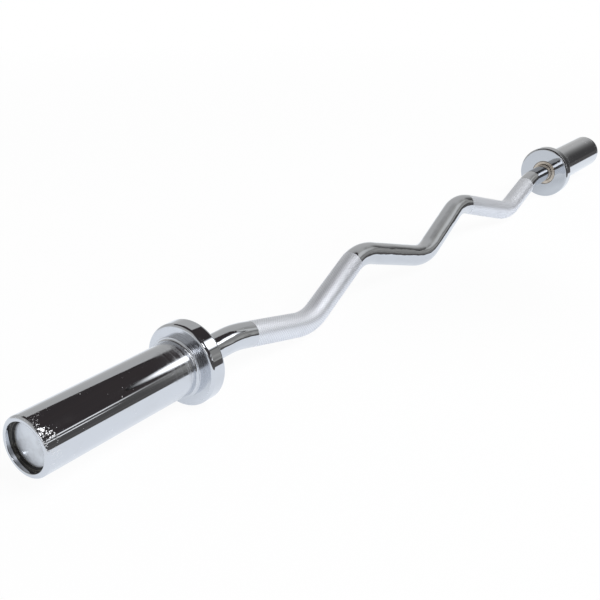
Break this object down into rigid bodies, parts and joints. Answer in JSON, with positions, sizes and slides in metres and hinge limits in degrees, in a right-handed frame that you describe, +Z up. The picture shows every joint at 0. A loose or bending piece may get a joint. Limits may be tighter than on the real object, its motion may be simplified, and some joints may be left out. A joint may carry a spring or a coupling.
{
  "type": "ez curl bar",
  "caption": "Zigzag curl bar: a bent chrome shaft with knurled hand grips and a free-spinning collared sleeve for weight plates at each end.",
  "frame": {"origin": "middle of the bar, on the axis of its sleeves", "axes": "+X along the bar to the right end, +Z up with the bar lying on its collars, +Y to the back"},
  "size_m": [1.2, 0.075, 0.075],
  "materials": {
    "chrome": "bright chrome plate",
    "bronze": "turned bronze",
    "washer_steel": "ground steel",
    "spring_steel": "black phosphate, lightly oiled",
    "cap_alloy": "satin turned",
    "seal_rubber": "matt black"
  },
  "bodies": {
    "bar": {"shaft": "chrome", "left_shoulder_washer": "washer_steel", "left_end_washer": "washer_steel", "left_shaft_ring": "spring_steel", "right_shoulder_washer": "washer_steel", "right_end_washer": "washer_steel", "right_shaft_ring": "spring_steel"},
    "left_end": {"left_sleeve": "chrome", "left_collar": "chrome", "left_inner_bush": "bronze", "left_outer_bush": "bronze", "left_end_cap": "cap_alloy", "left_cap_seal": "seal_rubber", "left_cap_ring": "spring_steel"},
    "right_end": {"right_sleeve": "chrome", "right_collar": "chrome", "right_inner_bush": "bronze", "right_outer_bush": "bronze", "right_end_cap": "cap_alloy", "right_cap_seal": "seal_rubber", "right_cap_ring": "spring_steel"}
  },
  "joints": [
    {"name": "left_sleeve_spin", "type": "hinge", "parent": "bar", "child": "left_end", "pos_m": [-0.5, 0, 0], "axis": [1, 0, 0], "continuous": true},
    {"name": "right_sleeve_spin", "type": "hinge", "parent": "bar", "child": "right_end", "pos_m": [0.5, 0, 0], "axis": [1, 0, 0], "continuous": true}
  ]
}
